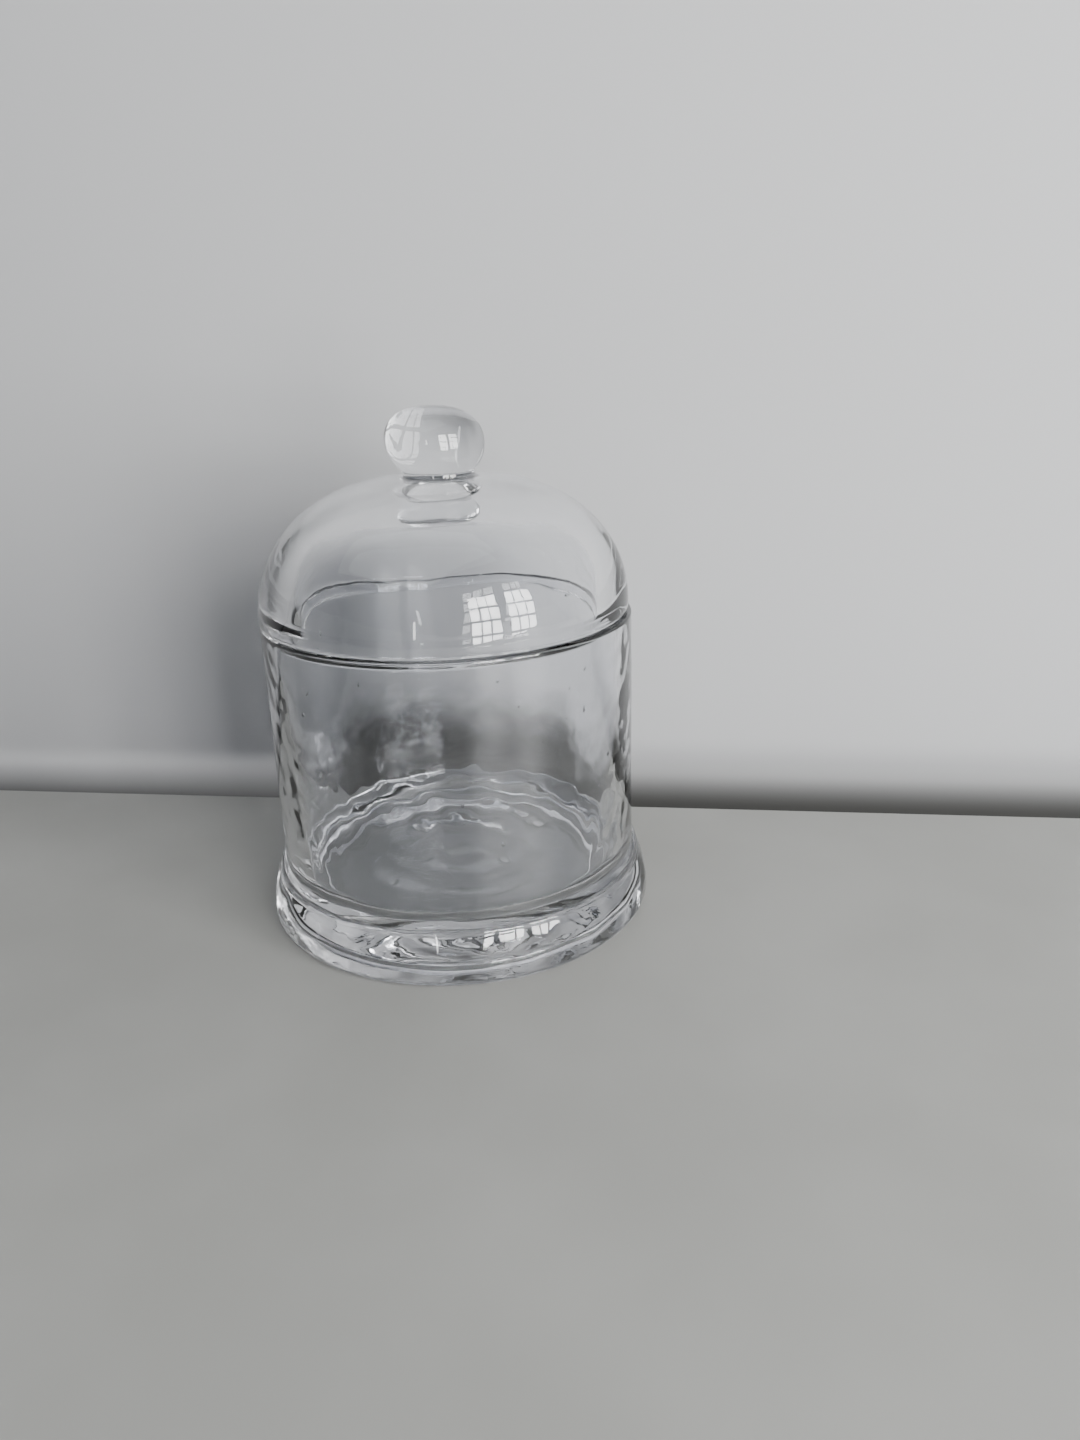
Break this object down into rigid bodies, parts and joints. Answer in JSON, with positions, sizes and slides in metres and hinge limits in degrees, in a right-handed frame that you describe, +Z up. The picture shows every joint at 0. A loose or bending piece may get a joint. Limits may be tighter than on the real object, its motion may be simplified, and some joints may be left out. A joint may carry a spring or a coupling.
{
  "type": "glass candle jar with dome lid",
  "caption": "Clear glass candle jar: straight-walled bowl with a wide thick foot ring, and a lift-off dome lid that has a ball knob.",
  "frame": {"origin": "centre of the foot's underside, on the surface the jar stands on", "axes": "+Z up along the jar's axis; the jar is round, so +X and +Y are free"},
  "size_m": [0.0976, 0.0976, 0.1243],
  "materials": {
    "jar_glass": "clear colourless glass, fire-polished, slightly wavy inside",
    "lid_glass": "clear colourless glass, fire-polished"
  },
  "bodies": {
    "jar": {"jar_bowl": "jar_glass", "jar_foot": "jar_glass"},
    "lid": {"lid_dome": "lid_glass", "lid_knob": "lid_glass"}
  },
  "joints": [
    {"name": "lid_lift", "type": "slide", "parent": "jar", "child": "lid", "axis": [0, 0, 1], "range_m": [0, 0.06]}
  ]
}
